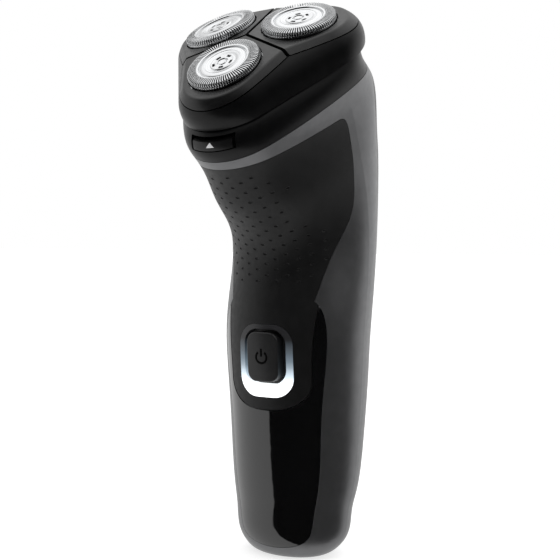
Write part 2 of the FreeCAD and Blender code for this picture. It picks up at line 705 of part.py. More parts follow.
def make_power_button(forms):
    """Raised cap on a flange that fills the ring's opening, with a stem that meets the switch."""
    outline = rounded_rectangle(BUTTON_W, BUTTON_H, BUTTON_CORNER, BUTTON_Z)
    raised = forms["outer"].copy()
    raised.translate(Vector(0, -BUTTON_PROUD, 0))
    cap = only_solid(raised.cut(forms["button_back"]).common(front_prism(outline, -30, 10)))
    edges = [edge for edge in cap.Edges if edge.BoundBox.YMax < -5.5]
    cap = cap.makeFillet(0.5, edges)
    rim = rounded_rectangle(OPENING_W - 2 * FLANGE_GAP, OPENING_H - 2 * FLANGE_GAP,
                            OPENING_CORNER - FLANGE_GAP, BUTTON_Z)
    flange = only_solid(forms["flange"].cut(forms["button_back"]).common(front_prism(rim, -30, 10)))
    stem = Part.makeCylinder(2.0, 1.85, Vector(0, -3.4, BUTTON_Z), Vector(0, 1, 0))
    return joined([cap, flange, stem])


def screw_bores():
    """Holes for the four screws that hold the circuit board to the inner frame."""
    return Part.makeCompound([Part.makeCylinder(SCREW_R + 0.03, 30, Vector(x, -10, z), Vector(0, 1, 0))
                              for x, z in FRAME_SCREWS])


def make_inner_frame():
    """Plate between board and battery, with two open cradles for the cell."""
    pieces = [box(-12, 12, 7.0, FRAME_BACK, 24, 92)]
    for z in (36.0, 70.0):
        cradle = tube(BATTERY_R + 1.6, BATTERY_R + 0.3, z, z + 4)
        cradle.translate(Vector(0, BATTERY_Y, 0))
        cradle = cradle.cut(box(-20, 20, BATTERY_Y + 4, 50, 0, 100))
        neck = box(-1.5, 1.5, FRAME_BACK, BATTERY_Y - BATTERY_R - 0.8, z, z + 4)
        pieces += [cradle, neck]
    pieces += [box(x - 1.5, x + 1.5, 5.3, 7.0, z - 1.5, z + 1.5) for x, z in FRAME_SCREWS]
    tab_slot = box(-2.3, 2.3, 0, FRAME_BACK + 1, BATTERY_BOTTOM - 0.8, BATTERY_BOTTOM + 0.3)
    return joined(pieces).cut(tab_slot).cut(screw_bores())


def make_circuit_board():
    board = box(-11, 11, 3.6, 5.2, 22, 91)
    slots = [box(sign * 11.2 - 1.2, sign * 11.2 + 1.2, 3, 6, 46, 50) for sign in (1, -1)]
    return board.cut(Part.makeCompound(slots)).cut(screw_bores())


def make_board_parts():
    """Chips, a coil and a capacitor on the front of the circuit board."""
    pieces = [box(-8, -2, 2.4, 3.55, 30, 36), box(2, 7, 2.0, 3.55, 26, 32), box(-9, -5, 1.6, 3.55, 80, 87)]
    pieces.append(Part.makeCylinder(3.0, 2.4, Vector(5.5, 1.15, 40), Vector(0, 1, 0)))
    pieces += [box(x, x + 1.6, 2.9, 3.55, 76, 77) for x in (-6, -3, 0, 3, 6)]
    return Part.makeCompound(pieces)


def make_switch():
    base = box(-3, 3, 0.6, 3.55, BUTTON_Z - 3, BUTTON_Z + 3)
    plunger = Part.makeCylinder(1.4, 1.6, Vector(0, -0.9, BUTTON_Z), Vector(0, 1, 0))
    return joined([base, plunger])


def make_lamps():
    return Part.makeCompound([box(x - 1.4, x + 1.4, 2.0, 3.55, z - 0.9, z + 0.9)
                              for x, z in ((-6.2, 53.6), (0.0, 51.8), (6.2, 53.6))])


def make_light_box():
    """White frame that keeps the lamps' light behind the ring."""
    outline = rounded_rectangle(RING_W + 2.4, RING_H + 2.4, RING_CORNER, RING_Z)
    opening = rounded_rectangle(RING_W, RING_H, RING_CORNER - 1.2, RING_Z)
    frame = front_prism(outline, 0.2, 3.5).cut(front_prism(opening, -5, 9))
    return only_solid(frame)


def make_battery():
    shoulder = BATTERY_TOP - 0.8
    cell = turned([(0, BATTERY_BOTTOM), (BATTERY_R - 0.4, BATTERY_BOTTOM), (BATTERY_R, BATTERY_BOTTOM + 0.4),
                   (BATTERY_R, shoulder - 0.4), (BATTERY_R - 0.4, shoulder), (2.6, shoulder),
                   (2.6, BATTERY_TOP), (0, BATTERY_TOP)])
    cell.translate(Vector(0, BATTERY_Y, 0))
    return cell


def make_battery_tabs():
    low = box(-2.0, 2.0, 5.3, BATTERY_Y, BATTERY_BOTTOM - 0.4, BATTERY_BOTTOM - 0.1)
    high = box(-2.0, 2.0, FRAME_BACK + 0.4, BATTERY_Y, BATTERY_TOP + 0.1, BATTERY_TOP + 0.4)
    return Part.makeCompound([low, high])


def inlet_block(gap, z0, z1):
    """The inlet housing's rectangle, widened by gap all round."""
    half_w = INLET_W / 2 + gap
    half_d = INLET_D / 2 + gap
    return box(-half_w, half_w, INLET_Y - half_d, INLET_Y + half_d, z0, z1)


def make_inlet_housing():
    outer = inlet_block(0.0, 0.2, INLET_TOP)
    outer = outer.makeFillet(2.4, [e for e in outer.Edges if e.BoundBox.ZLength > 5])
    well = box(-WELL_W / 2, WELL_W / 2, INLET_Y - WELL_D / 2, INLET_Y + WELL_D / 2, -2, WELL_TOP)
    well = well.makeFillet(2.0, [e for e in well.Edges if e.BoundBox.ZLength > 5])
    pins = [disc(PIN_ROOT_R, 0, 20, x=x, y=INLET_Y) for x in (-PIN_PITCH / 2, PIN_PITCH / 2)]
    return outer.cut(well).cut(Part.makeCompound(pins))


def make_inlet_pin(x):
    pin = disc(PIN_R, PIN_TIP, PIN_SHOULDER, x=x, y=INLET_Y)
    tip = [edge for edge in pin.Edges if edge.BoundBox.ZMax < PIN_TIP + 0.01]
    root = disc(PIN_ROOT_R, PIN_SHOULDER, INLET_TOP + 1.5, x=x, y=INLET_Y)
    return joined([pin.makeFillet(0.4, tip), root])


def make_inlet_seal(inner_form):
    return inlet_block(1.2, 2.9, 4.1).cut(inlet_block(0.05, 2, 5)).common(inner_form)


# ---- assembly ---------------------------------------------------------------

def make_regions():
    gap = RING_GAP
    ring_room = rounded_rectangle(RING_W + 2 * gap, RING_H + 2 * gap, RING_CORNER + gap, RING_Z)
    return {
        "panels": side_prism(panel_outline()),
        "panel_fit": side_prism(panel_outline(-SEAM)),
        "tongue": front_prism(tongue_outline(), -80, 20),
        "tongue_room": front_prism(tongue_outline(TONGUE_SEAM), -80, 20),
        "rear": side_prism(parting_outline()),
        "rear_room": side_prism(parting_outline(SEAM)),
        "ring": front_prism(ring_room, -60, 12),
    }


def make_all():
    forms = {
        "outer": body_solid(),
        "skin": body_solid(SKIN),
        "chamber": body_solid(CHAMBER_WALL),
        "wall": body_solid(WALL),
        "button_back": body_solid(3.0),
        "flange": body_solid(FLANGE_DEPTH),
        "release_back": body_solid(1.7),
        "plate": body_solid(WALL + 0.1),
        "seal": body_solid(WALL + 1.2),
    }
    regions = make_regions()
    unit_outer = unit_form()
    unit_inner = unit_form(UNIT_WALL)
    to_x = turned_about_z(-POSITIONS["right"])
    lobe = make_lobe(placed(unit_outer, to_x), placed(unit_inner, to_x))
    cap = make_cap()
    cutter = make_cutter()
    spindle = make_spindle()
    spring = coil(2.75, 0.2, -22.8, -18.65, 4)
    seal = turned([(1.95, -14.7), (BOSS_BORE, -14.7), (BOSS_BORE, -14.1), (1.95, -14.1)])
    axle = disc(AXLE_R, PLATE_BOTTOM + 0.1, -15.2)

    nodes = {
        "unit_housing": placed(make_unit_housing(unit_outer, unit_inner), HEAD),
        "retaining_frame": placed(make_retaining_frame(), HEAD),
        "lock_knob": placed(make_lock_knob(), HEAD),
        "hair_chamber": make_hair_chamber(forms["outer"], forms["chamber"]),
        "release_button": make_release_button(forms["outer"], forms["release_back"]),
        "gear_plate": make_gear_plate(forms["plate"]),
        "motor_can": placed(make_motor_can(), HEAD),
        "motor_end_cap": placed(make_motor_end_cap(), HEAD),
        "motor_rotor": placed(make_rotor(), HEAD),
        "main_housing": make_main_housing(forms, regions),
        "rear_cover": make_rear_cover(forms, regions),
        "front_grip": make_grip(forms, regions),
        "front_panel": make_front_panel(forms, regions),
        "light_ring": make_light_ring(forms),
        "power_button": make_power_button(forms),
        "inner_frame": make_inner_frame(),
        "circuit_board": make_circuit_board(),
        "board_components": make_board_parts(),
        "tactile_switch": make_switch(),
        "ring_lamps": make_lamps(),
        "light_box": make_light_box(),
        "battery_cell": make_battery(),
        "battery_tabs": make_battery_tabs(),
        "inlet_housing": make_inlet_housing(),
        "inlet_pin_right": make_inlet_pin(PIN_PITCH / 2),
        "inlet_pin_left": make_inlet_pin(-PIN_PITCH / 2),
        "inlet_seal": make_inlet_seal(forms["plate"]),
    }
    for name, azimuth in POSITIONS.items():
        nodes["lobe_" + name] = placed(lobe, lobe_frame(azimuth))
        nodes["cap_" + name] = placed(cap, cap_frame(azimuth))
        nodes["cutter_" + name] = placed(cutter, cap_frame(azimuth))
        nodes["drive_gear_" + name] = placed(make_gear(azimuth), gear_frame(azimuth))
        nodes["drive_spindle_" + name] = placed(spindle, gear_frame(azimuth))
        nodes["spindle_spring_" + name] = placed(spring, gear_frame(azimuth))

    everywhere = POSITIONS.values()
    backward = Rotation(Vector(1, 0, 0), -90)
    nodes["spindle_seals"] = Part.makeCompound([placed(seal, gear_frame(a)) for a in everywhere])
    nodes["gear_axles"] = Part.makeCompound([placed(axle, gear_frame(a)) for a in everywhere])
    pinion = toothed_disc(PINION_TEETH, GEAR_BOTTOM, GEAR_TOP).cut(disc(AXLE_R, -40, 0))
    nodes["motor_pinion"] = placed(pinion, HEAD)
    nodes["hinge_pin"] = placed(along_hinge(HINGE_PIN_R, HINGE_HALF + HINGE_EAR), HEAD)
    gasket = forms["plate"].cut(forms["seal"]).common(head_slab(CHAMBER_BOTTOM - 1.4, CHAMBER_BOTTOM - 0.05))
    nodes["handle_seal"] = only_solid(gasket)
    spring_seat = Placement(Vector(0, LATCH_Y + 1.5, -15.5), backward)
    nodes["release_spring"] = placed(coil(1.4, 0.2, 0.0, 3.2, 4), HEAD.multiply(spring_seat))
    motor_seat = Placement(Vector(MOTOR_SCREW_PITCH, 0, MOTOR_SCREW_SEAT), Rotation())
    motor_screw = placed(make_screw(1.7, 1.2, SCREW_R, 2.8), motor_seat)
    nodes["motor_screws"] = Part.makeCompound([placed(motor_screw, lobe_frame(a)) for a in MOTOR_SCREW_ANGLES])
    plate_seat = Placement(Vector(PLATE_SCREW_PITCH, 0, PLATE_TOP), Rotation())
    plate_screw = placed(make_screw(1.8, 1.2, 0.9, 4.4), plate_seat)
    nodes["plate_screws"] = Part.makeCompound([placed(plate_screw, lobe_frame(a)) for a in PLATE_SCREW_ANGLES])
    frame_screw = make_screw(1.7, 1.2, SCREW_R, 4.6)
    nodes["frame_screws"] = Part.makeCompound([placed(frame_screw, Placement(Vector(x, FRAME_BACK, z), backward))
                                               for x, z in FRAME_SCREWS])
    return nodes


def main():
    os.makedirs("parts", exist_ok=True)
    nodes = make_all()
    whole = FreeCAD.BoundBox()
    for name, shape in nodes.items():
        whole.add(shape.BoundBox)
        state = "valid" if shape.isValid() else "INVALID"
        print(f"{name:24s} {len(shape.Solids):3d} solids {shape.Volume:10.1f} mm3  {state}")
        shape.exportStep(f"parts/{name}.step")
    print("whole", whole)


main()
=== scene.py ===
import json
import math

import bmesh
import bpy
from mathutils import Matrix, Vector
from mathutils.bvhtree import BVHTree


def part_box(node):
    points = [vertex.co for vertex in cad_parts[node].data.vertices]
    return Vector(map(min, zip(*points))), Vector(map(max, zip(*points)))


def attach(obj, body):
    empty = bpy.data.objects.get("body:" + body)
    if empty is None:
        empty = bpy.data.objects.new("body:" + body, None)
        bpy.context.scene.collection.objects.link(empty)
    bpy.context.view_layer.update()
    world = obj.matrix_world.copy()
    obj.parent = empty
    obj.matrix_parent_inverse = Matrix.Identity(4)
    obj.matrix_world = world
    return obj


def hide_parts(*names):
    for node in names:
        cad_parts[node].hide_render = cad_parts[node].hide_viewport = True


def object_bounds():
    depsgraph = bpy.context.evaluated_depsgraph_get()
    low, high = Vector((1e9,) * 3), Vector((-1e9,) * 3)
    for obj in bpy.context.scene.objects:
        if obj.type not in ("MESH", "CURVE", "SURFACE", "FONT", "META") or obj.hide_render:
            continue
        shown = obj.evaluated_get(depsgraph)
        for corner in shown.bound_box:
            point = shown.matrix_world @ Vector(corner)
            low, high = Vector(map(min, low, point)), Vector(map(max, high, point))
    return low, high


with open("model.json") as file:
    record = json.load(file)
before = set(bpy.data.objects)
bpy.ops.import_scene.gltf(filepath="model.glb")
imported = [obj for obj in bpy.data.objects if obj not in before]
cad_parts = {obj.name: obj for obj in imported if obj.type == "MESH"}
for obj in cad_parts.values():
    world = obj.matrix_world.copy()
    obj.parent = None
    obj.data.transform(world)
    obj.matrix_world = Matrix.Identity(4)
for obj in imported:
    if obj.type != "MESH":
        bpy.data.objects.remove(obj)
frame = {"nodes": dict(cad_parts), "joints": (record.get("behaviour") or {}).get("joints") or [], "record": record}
cad_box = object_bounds()
NODES = frame["nodes"]
JOINTS = {joint["name"]: joint for joint in frame["joints"]}
BODY_OF = {node: body for body, members in frame["record"]["behaviour"]["bodies"].items() for node in members}
MM = 0.001

# ---- camera -----------------------------------------------------------------

CAMERA_TARGET = Vector((0.0, 0.0043, 0.0857))
CAMERA_AZIMUTH = math.radians(30.56)      # from the front towards +X
CAMERA_PITCH = math.radians(2.93)         # looking down
CAMERA_ROLL = math.radians(-0.14)
CAMERA_DISTANCE = 0.350
CAMERA_LENS = 73.2

forward = Vector((-math.sin(CAMERA_AZIMUTH) * math.cos(CAMERA_PITCH),
                  math.cos(CAMERA_AZIMUTH) * math.cos(CAMERA_PITCH),
                  -math.sin(CAMERA_PITCH)))
camera_data = bpy.data.cameras.new("camera")
camera_data.lens = CAMERA_LENS
camera_data.sensor_width = 36.0
camera_data.clip_start = 0.01
camera = bpy.data.objects.new("camera", camera_data)
bpy.context.scene.collection.objects.link(camera)
turn = forward.to_track_quat("-Z", "Y").to_matrix().to_4x4() @ Matrix.Rotation(CAMERA_ROLL, 4, "Z")
camera.matrix_world = Matrix.Translation(CAMERA_TARGET - forward * CAMERA_DISTANCE) @ turn
bpy.context.scene.camera = camera


# ---- materials --------------------------------------------------------------

class Finish:
    """A Principled material with a few helpers for its node tree."""

    def __init__(self, name, **sockets):
        self.material = bpy.data.materials.new(name)
        self.material.use_nodes = True
        self.tree = self.material.node_tree
        self.shader = self.tree.nodes["Principled BSDF"]
        for socket, value in sockets.items():
            self.shader.inputs[socket.replace("_", " ")].default_value = value
        self.place = self.tree.nodes.new("ShaderNodeTexCoord").outputs["Object"]

    def node(self, kind, **values):
        node = self.tree.nodes.new(kind)
        for name, value in values.items():
            node.inputs[name.replace("_", " ")].default_value = value
        return node

    def link(self, source, node, socket):
        self.tree.links.new(source, node.inputs[socket])

    def noise(self, size, detail=2.0, roughness=0.5):
        """Noise with features of this size in metres."""
        noise = self.node("ShaderNodeTexNoise", Scale=1.0 / size, Detail=detail, Roughness=roughness)
        self.link(self.place, noise, "Vector")
        return noise.outputs["Fac"]

    def ramp(self, source, stops):
        """Colours along a 0 to 1 value."""
        ramp = self.tree.nodes.new("ShaderNodeValToRGB")
        elements = ramp.color_ramp.elements
        while len(elements) < len(stops):
            elements.new(0.5)
        for element, (position, colour) in zip(elements, stops):
            element.position = position
            element.color = (*colour, 1.0)
        self.link(source, ramp, "Fac")
        return ramp.outputs["Color"]

    def spread(self, source, low, high, from_low=0.3, from_high=0.7):
        """Rescale a value."""
        scale = self.tree.nodes.new("ShaderNodeMapRange")
        limits = (("From Min", from_low), ("From Max", from_high), ("To Min", low), ("To Max", high))
        for name, value in limits:
            scale.inputs[name].default_value = value
        self.link(source, scale, "Value")
        return scale.outputs["Result"]

    def tones(self, dark, light, size):
        self.link(self.ramp(self.noise(size), [(0.3, dark), (0.7, light)]), self.shader, "Base Color")

    def rough(self, low, high, size):
        self.link(self.spread(self.noise(size), low, high), self.shader, "Roughness")

    def bump(self, source, strength, depth):
        bump = self.node("ShaderNodeBump", Strength=strength, Distance=depth)
        self.link(source, bump, "Height")
        self.link(bump.outputs["Normal"], self.shader, "Normal")


def grained(name, dark, light, rough, grain, depth, **sockets):
    """Moulded plastic or rubber: slight tone and gloss changes over a fine spark-eroded grain."""
    finish = Finish(name, **sockets)
    finish.tones(dark, light, 0.004)
    finish.rough(rough[0], rough[1], 0.0015)
    finish.bump(finish.noise(grain, 3.0), 0.6, depth)
    return finish.material


def brushed(name, tone, rough, streak, depth, centre_axis=False):
    """Metal with fine marks: rings round its own Z axis, or bands up that axis."""
    finish = Finish(name, Metallic=1.0)
    split = finish.tree.nodes.new("ShaderNodeSeparateXYZ")
    finish.link(finish.place, split, "Vector")
    flat = finish.tree.nodes.new("ShaderNodeCombineXYZ")
    finish.link(split.outputs["X"], flat, "X")
    finish.link(split.outputs["Y"], flat, "Y")
    radius = finish.tree.nodes.new("ShaderNodeVectorMath")
    radius.operation = "LENGTH"
    finish.link(flat.outputs["Vector"], radius, 0)
    rings = finish.node("ShaderNodeTexNoise", Scale=1.0 / streak, Detail=3.0)
    rings.noise_dimensions = "1D"
    finish.link(radius.outputs["Value"] if centre_axis else split.outputs["Z"], rings, "W")
    dark = tuple(0.82 * c for c in tone)
    finish.link(finish.ramp(rings.outputs["Fac"], [(0.35, dark), (0.65, tone)]), finish.shader, "Base Color")
    finish.link(finish.spread(rings.outputs["Fac"], rough[0], rough[1]), finish.shader, "Roughness")
    finish.bump(rings.outputs["Fac"], 0.5, depth)
    return finish.material


BLACK_PLASTIC = grained("black_plastic", (0.0022, 0.0022, 0.0024), (0.0032, 0.0032, 0.0034), (0.29, 0.35),
                        0.00022, 0.000006, Specular_IOR_Level=0.28)
LOBE_PLASTIC = grained("lobe_plastic", (0.0035, 0.0035, 0.0037), (0.0050, 0.0050, 0.0052), (0.32, 0.39),
                       0.00022, 0.000006)
GREY_SATIN = grained("grey_satin", (0.165, 0.166, 0.170), (0.185, 0.186, 0.190), (0.30, 0.36),
                     0.00018, 0.000005, Metallic=0.85)
DARK_COVER = grained("dark_cover", (0.0045, 0.0045, 0.005), (0.006, 0.006, 0.0065), (0.34, 0.40),
                     0.00018, 0.000006, Specular_IOR_Level=0.3)
GRIP_RUBBER = grained("grip_rubber", (0.0045, 0.0045, 0.0047), (0.0065, 0.0065, 0.0067), (0.42, 0.52),
                      0.00025, 0.000008, Specular_IOR_Level=0.36, Sheen_Weight=0.05, Sheen_Roughness=0.45)
BUTTON_RUBBER = grained("button_rubber", (0.010, 0.010, 0.0105), (0.013, 0.013, 0.0135), (0.34, 0.42),
                        0.0002, 0.000006)
INNER_GREY = grained("inner_grey", (0.20, 0.205, 0.21), (0.24, 0.245, 0.25), (0.42, 0.55), 0.0003, 0.000012)
GEAR_WHITE = grained("gear_white", (0.66, 0.66, 0.63), (0.74, 0.74, 0.71), (0.28, 0.38), 0.0004, 0.000008)
SEAL_RUBBER = grained("seal_rubber", (0.035, 0.035, 0.035), (0.05, 0.05, 0.05), (0.55, 0.7), 0.0003, 0.00002)
BOARD_GREEN = grained("board_green", (0.010, 0.085, 0.040), (0.018, 0.13, 0.06), (0.22, 0.32), 0.0006, 0.00001,
                      Coat_Weight=0.4)
CHIP_BLACK = grained("chip_black", (0.012, 0.012, 0.012), (0.02, 0.02, 0.02), (0.45, 0.6), 0.0002, 0.000015)
CELL_SLEEVE = grained("cell_sleeve", (0.06, 0.18, 0.36), (0.09, 0.24, 0.45), (0.2, 0.3), 0.001, 0.00001,
                      Coat_Weight=0.3)
WHITE_BOX = grained("white_box", (0.78, 0.79, 0.80), (0.86, 0.87, 0.88), (0.4, 0.5), 0.0003, 0.000008)
# dark ink of the power icon's print; the caps' grooves also wear it as painted shade
ICON_INK_AND_GROOVE_SHADE = grained("icon_ink_and_groove_shade", (0.0015, 0.0015, 0.0015), (0.002, 0.002, 0.002), (0.5, 0.6), 0.0002, 0.000004,
                    Specular_IOR_Level=0.05)
ARROW_LIGHT = grained("arrow_light", (0.62, 0.62, 0.63), (0.70, 0.70, 0.71), (0.4, 0.5), 0.0002, 0.000004)
CAP_STEEL = brushed("cap_steel", (0.78, 0.79, 0.80), (0.16, 0.27), 0.0002, 0.000002, centre_axis=True)
BLADE_STEEL = brushed("blade_steel", (0.30, 0.31, 0.32), (0.25, 0.35), 0.0002, 0.000004)
PLAIN_STEEL = brushed("plain_steel", (0.56, 0.57, 0.58), (0.22, 0.35), 0.0004, 0.000004)
SCREW_STEEL = brushed("screw_steel", (0.22, 0.22, 0.23), (0.25, 0.4), 0.0004, 0.000004)
NICKEL = brushed("nickel", (0.72, 0.70, 0.64), (0.12, 0.22), 0.0006, 0.000003)
COPPER = brushed("copper_brass", (0.75, 0.42, 0.20), (0.2, 0.35), 0.0003, 0.000006)


def gloss_black():
    """Lacquered black panel: a mirror coat with a trace of orange peel."""
    finish = Finish("gloss_black", Roughness=0.05, Coat_Weight=1.0, Coat_Roughness=0.015)
    finish.tones((0.0022, 0.0022, 0.0024), (0.0030, 0.0030, 0.0032), 0.01)
    finish.bump(finish.noise(0.003, 1.0), 0.12, 0.00001)
    return finish.material


GLOSS_BLACK = gloss_black()

RING_LOW, RING_HIGH = (corner.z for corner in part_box("light_ring"))


# Colours up the ring, from 0 at its foot to 1 at its top: the light it gives, and its base colour, which repeats
# that glow as painted light.
RING_GLOW = [(0.00, (1.0, 1.0, 1.0)), (0.18, (0.95, 0.98, 1.0)), (0.28, (0.40, 0.50, 0.58)),
             (0.42, (0.12, 0.165, 0.205)), (0.62, (0.035, 0.048, 0.06)), (0.80, (0.0, 0.0, 0.0))]
# base colour pale at the foot and dark at the top: painted glow that follows the lamps
RING_BASE_PAINTED_GLOW = [(0.00, (0.85, 0.88, 0.90)), (0.18, (0.80, 0.84, 0.87)), (0.50, (0.12, 0.14, 0.16)),
             (0.80, (0.024, 0.024, 0.026))]


def lit_ring():
    """Smoked diffuser over three lamps: white at the bottom, blue up the sides and unlit at the top. The emission
    is the lamps' light; the base colour repeats that fall as painted glow.
    """
    finish = Finish("light_ring", Roughness=0.28)
    split = finish.tree.nodes.new("ShaderNodeSeparateXYZ")
    finish.link(finish.place, split, "Vector")
    height = finish.spread(split.outputs["Z"], 0.0, 1.0, RING_LOW, RING_HIGH)
    glow = finish.ramp(height, RING_GLOW)
    # painted glow: the base colour pales towards the lamps at the foot
    body = finish.ramp(height, RING_BASE_PAINTED_GLOW)
    finish.link(body, finish.shader, "Base Color")
    finish.link(glow, finish.shader, "Emission Color")
    finish.shader.inputs["Emission Strength"].default_value = 1.15
    return finish.material


LIGHT_RING = lit_ring()

# The material of every CAD node.
FINISHES = {
    "main_housing": GREY_SATIN, "rear_cover": DARK_COVER, "front_grip": GRIP_RUBBER,
    "front_panel": GLOSS_BLACK, "light_ring": LIGHT_RING, "power_button": BUTTON_RUBBER,
    "hair_chamber": BLACK_PLASTIC, "release_button": LOBE_PLASTIC, "unit_housing": BLACK_PLASTIC,
    "retaining_frame": INNER_GREY, "lock_knob": INNER_GREY, "gear_plate": INNER_GREY,
    "motor_can": PLAIN_STEEL, "motor_end_cap": CHIP_BLACK, "motor_rotor": COPPER, "motor_pinion": COPPER,
    "inner_frame": INNER_GREY, "circuit_board": BOARD_GREEN, "board_components": CHIP_BLACK,
    "tactile_switch": CHIP_BLACK, "ring_lamps": WHITE_BOX, "light_box": WHITE_BOX,
    "battery_cell": CELL_SLEEVE, "battery_tabs": NICKEL, "inlet_housing": BLACK_PLASTIC,
    "inlet_pin_right": NICKEL, "inlet_pin_left": NICKEL, "inlet_seal": SEAL_RUBBER,
    "spindle_seals": SEAL_RUBBER, "gear_axles": PLAIN_STEEL, "hinge_pin": PLAIN_STEEL,
    "handle_seal": SEAL_RUBBER, "release_spring": PLAIN_STEEL, "motor_screws": SCREW_STEEL,
    "plate_screws": SCREW_STEEL, "frame_screws": SCREW_STEEL,
}
for place in ("front", "right", "left"):
    FINISHES["lobe_" + place] = LOBE_PLASTIC
    FINISHES["cap_" + place] = CAP_STEEL
    FINISHES["cutter_" + place] = BLADE_STEEL
    FINISHES["drive_gear_" + place] = GEAR_WHITE
    FINISHES["drive_spindle_" + place] = GEAR_WHITE
    FINISHES["spindle_spring_" + place] = PLAIN_STEEL


def wear(piece, material):
    """Give an object one material in place of its own."""
    piece.data.materials.clear()
    piece.data.materials.append(material)


for node_name, node in NODES.items():
    wear(node, FINISHES[node_name])


# ---- mesh helpers -----------------------------------------------------------

SHARP_EDGE = math.radians(38)
RAY_START = -0.2                          # well in front of the shaver


def new_piece(name, mesh_data, material, body, place=None):
    """Link a finished mesh as a piece that rides on a body."""
    mesh = bpy.data.meshes.new(name)
    mesh_data.to_mesh(mesh)
    mesh_data.free()
    mesh.polygons.foreach_set("use_smooth", [True] * len(mesh.polygons))
    mesh.set_sharp_from_angle(angle=SHARP_EDGE)
    piece = bpy.data.objects.new(name, mesh)
    bpy.context.scene.collection.objects.link(piece)
    if place is not None:
        piece.matrix_world = place
    wear(piece, material)
    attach(piece, body)
    return piece


def axes_matrix(origin, axis, toward):
    """Frame with +Z along axis and +X as near as possible to toward."""
    z = Vector(axis).normalized()
    y = z.cross(Vector(toward)).normalized()
    x = y.cross(z)
    rotation = Matrix((x, y, z)).transposed().to_4x4()
    return Matrix.Translation(Vector(origin)) @ rotation


HEAD_ORIGIN = Vector(JOINTS["motor_spin"]["pos_m"])


def surface_of(node):
    """Ray-cast tree of a CAD node."""
    mesh_data = bmesh.new()
    mesh_data.from_mesh(NODES[node].data)
    tree = BVHTree.FromBMesh(mesh_data)
    mesh_data.free()
    return tree


def front_of(tree, x, z):
    """Point and normal of a surface seen from straight in front, in metres."""
    point, normal, _, _ = tree.ray_cast(Vector((x, RAY_START, z)), Vector((0, 1, 0)))
    if point is None:
        return None, None
    return point, (normal if normal.y < 0 else -normal)


# ---- grip with dimples ------------------------------------------------------

WELD = 0.000002                           # distance at which the CAD mesh's split edges are joined
DIMPLE_COLUMN = 3.3
DIMPLE_COLUMNS = 5                        # each side of the middle one
DIMPLE_FACING = 0.5                       # least share of a dimple's surface normal that points forward
DIMPLE_ROW = 2.75
DIMPLE_TOP = 116.0
DIMPLE_BOTTOM = 84.5
DIMPLE_SPREAD_BELOW = 97.0                # the rows open out below this height
DIMPLE_SPREAD = 0.035                     # by this share of their pitch for each millimetre further down
DIMPLE_HALF_WIDTH = 0.80                  # of the ball that forms it, and so on below
DIMPLE_HALF_HEIGHT = 0.46
DIMPLE_HALF_DEPTH = 0.42
DIMPLE_LIFT = 0.14                        # its centre above the surface


def dimple_places():
    """Staggered columns of dimples, as x and z in millimetres."""
    places = []
    for column in range(-DIMPLE_COLUMNS, DIMPLE_COLUMNS + 1):
        z = DIMPLE_TOP - (DIMPLE_ROW / 2.0 if column % 2 else 0.0)
        while z > DIMPLE_BOTTOM:
            places.append((column * DIMPLE_COLUMN, z))
            z -= DIMPLE_ROW * (1.0 + DIMPLE_SPREAD * max(DIMPLE_SPREAD_BELOW - z, 0.0))
    return places


def dimpled_grip():
    """The grip's own form with every dimple cut out of it."""
    tree = surface_of("front_grip")
    cutters = bmesh.new()
    for x, z in dimple_places():
        point, normal = front_of(tree, x * MM, z * MM)
        if point is None or -normal.y < DIMPLE_FACING:
            continue
        place = axes_matrix(point + normal * (DIMPLE_LIFT * MM), normal, (1, 0, 0))
        scale = Matrix.Diagonal((DIMPLE_HALF_WIDTH * MM, DIMPLE_HALF_HEIGHT * MM, DIMPLE_HALF_DEPTH * MM, 1.0))
        bmesh.ops.create_uvsphere(cutters, u_segments=16, v_segments=10, radius=1.0, matrix=place @ scale)
    cutter_mesh = bpy.data.meshes.new("dimple_cutters")
    cutters.to_mesh(cutter_mesh)
    cutters.free()
    cutter = bpy.data.objects.new("dimple_cutters", cutter_mesh)
    whole = bmesh.new()
    whole.from_mesh(NODES["front_grip"].data)
    bmesh.ops.remove_doubles(whole, verts=whole.verts, dist=WELD)
    bmesh.ops.dissolve_degenerate(whole, edges=whole.edges, dist=WELD)
    grip_mesh = bpy.data.meshes.new("grip_form")
    whole.to_mesh(grip_mesh)
    whole.free()
    if "custom_normal" in grip_mesh.attributes:
        grip_mesh.attributes.remove(grip_mesh.attributes["custom_normal"])
    grip = bpy.data.objects.new("grip_form", grip_mesh)
    for item in (cutter, grip):
        bpy.context.scene.collection.objects.link(item)
    cut = grip.modifiers.new("dimples", "BOOLEAN")
    cut.operation = "DIFFERENCE"
    cut.solver = "EXACT"
    cut.object = cutter
    result = bmesh.new()
    result.from_mesh(grip.evaluated_get(bpy.context.evaluated_depsgraph_get()).to_mesh())
    for item in (cutter, grip):
        bpy.data.objects.remove(item)
    piece = new_piece("dimpled_grip", result, GRIP_RUBBER, BODY_OF["front_grip"])
    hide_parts("front_grip")


dimpled_grip()


# ---- marks on the buttons ---------------------------------------------------

MARK_LIFT = 0.00004                       # a mark's middle above the surface, and its thickness
ICON_RADIUS = 0.0018
ICON_STROKE = 0.00066
ICON_ARC_STEPS = 40
MARK_STEPS = 8                            # divisions along a straight mark
ICON_GAP = 38.0                           # half the opening at the top of the arc, in degrees
ICON_BAR = 0.0024
ICON_BAR_FROM = 0.0002                    # foot of the bar above the middle of the arc


def laid_on(tree, name, strips, material, body):
    """Thin marks that follow a surface: each strip is a few matching lines of x and z."""
    mesh_data = bmesh.new()
    for lines in strips:
        rows = []
        for line in lines:
            row = []
            for x, z in line:
                point, normal = front_of(tree, x, z)
                row.append(mesh_data.verts.new(point + normal * MARK_LIFT))
            rows.append(row)
        for first, second in zip(rows, rows[1:]):
            for index in range(len(first) - 1):
                mesh_data.faces.new((first[index], first[index + 1], second[index + 1], second[index]))
    bmesh.ops.recalc_face_normals(mesh_data, faces=mesh_data.faces)
    piece = new_piece(name, mesh_data, material, body)
    sheet = piece.modifiers.new("ink", "SOLIDIFY")
    sheet.thickness = MARK_LIFT
    sheet.offset = 0.0


